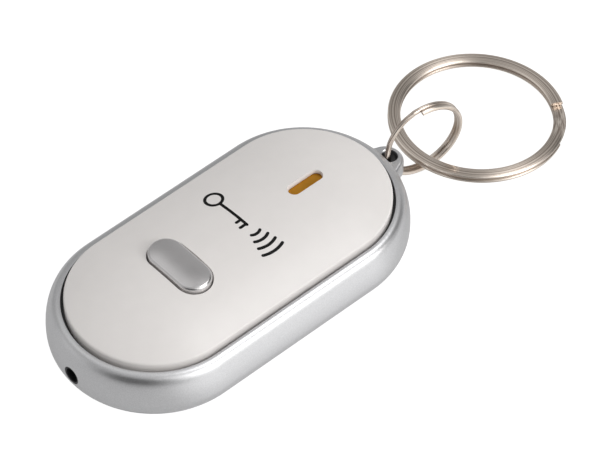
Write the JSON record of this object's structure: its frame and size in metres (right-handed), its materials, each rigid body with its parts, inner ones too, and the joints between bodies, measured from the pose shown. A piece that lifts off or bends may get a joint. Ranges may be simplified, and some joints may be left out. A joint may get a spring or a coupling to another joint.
{
  "type": "key finder fob",
  "caption": "Stadium-shaped key-finder fob with a domed cover, push button, torch port and sound slot, and a lug that carries a small split ring and a larger key ring.",
  "frame": {"origin": "centre of the flat back, midway between the two end arcs of the case", "axes": "+X along the case towards the ring lug, +Y across it, +Z out of the back towards the domed cover"},
  "size_m": [0.0966, 0.0324, 0.0143],
  "materials": {
    "silver_paint": "satin silver paint on moulded plastic",
    "white_plastic": "semi-gloss white plastic",
    "grey_button": "silver-grey painted plastic, glossy",
    "screw_steel": "zinc-plated steel",
    "board_green": "solder-mask laminate",
    "black_resin": "black resin",
    "chip_black": "moulded black",
    "chip_tan": "sintered ceramic",
    "ferrite": "ferrite drum",
    "can_aluminium": "drawn can",
    "felt_black": "felt",
    "solder": "bright solder",
    "switch_black": "moulded black",
    "spring_steel": "stainless strip",
    "clear_lamp": "clear epoxy",
    "glue_amber": "silicone adhesive",
    "brass": "thin brass sheet",
    "ceramic_white": "silvered ceramic",
    "wire_red": "insulated wire",
    "wire_black": "insulated wire",
    "nickel": "bright nickel plate",
    "gasket_nylon": "nylon",
    "stem_white": "moulded nylon"
  },
  "bodies": {
    "case": {"case_frame": "silver_paint", "back_cover": "silver_paint", "top_cover": "white_plastic", "case_screws": "screw_steel", "circuit_board": "board_green", "board_screws": "screw_steel", "controller_chip": "black_resin", "chip_resistors": "chip_black", "chip_capacitors": "chip_tan", "drive_transistor": "chip_black", "step_up_coil": "ferrite", "microphone_can": "can_aluminium", "microphone_felt": "felt_black", "solder_joints": "solder", "switch_base": "switch_black", "switch_plate": "spring_steel", "switch_legs": "spring_steel", "switch_dome": "spring_steel", "led_sleeve": "switch_black", "led_lens": "clear_lamp", "led_leads": "solder", "sounder_glue_ring": "glue_amber", "sounder_disc": "brass", "sounder_ceramic": "ceramic_white", "sounder_wire_red": "wire_red", "sounder_wire_black": "wire_black", "cell_cans": "nickel", "cell_gaskets": "gasket_nylon", "cell_caps": "nickel", "positive_contact": "spring_steel", "negative_contact": "spring_steel"},
    "button": {"button_cap": "grey_button"},
    "switch_plunger": {"switch_stem": "stem_white"},
    "door": {"battery_door": "silver_paint", "battery_bridge": "spring_steel"},
    "door_screw_body": {"door_screw": "screw_steel"},
    "small_ring": {"small_split_ring": "nickel"},
    "large_ring": {"large_split_ring": "nickel"}
  },
  "joints": [
    {"name": "button_press", "type": "slide", "parent": "case", "child": "button", "axis": [0, 0, -1], "range_m": [0, 0.0003], "stiffness_N_per_m": 8},
    {"name": "plunger_press", "type": "slide", "parent": "case", "child": "switch_plunger", "axis": [0, 0, -1], "range_m": [0, 0.0003], "deforming": ["switch_dome"]},
    {"name": "door_lift_off", "type": "slide", "parent": "case", "child": "door", "axis": [0, 0, -1], "range_m": [0, 0.006]},
    {"name": "door_screw_out", "type": "slide", "parent": "door", "child": "door_screw_body", "axis": [0, 0, -1], "range_m": [0, 0.004]},
    {"name": "small_ring_swing", "type": "hinge", "parent": "case", "child": "small_ring", "pos_m": [0.03267, 0, 0.00495], "axis": [0, 0, 1], "range_deg": [-40, 45]},
    {"name": "large_ring_lift", "type": "hinge", "parent": "small_ring", "child": "large_ring", "pos_m": [0.0387, -0.00134, 0.00223], "axis": [0.1058, -0.9942, 0.0196], "range_deg": [0, 90]}
  ],
  "couplings": [
    {"joint": "plunger_press", "follows": "button_press", "ratio": 1}
  ]
}
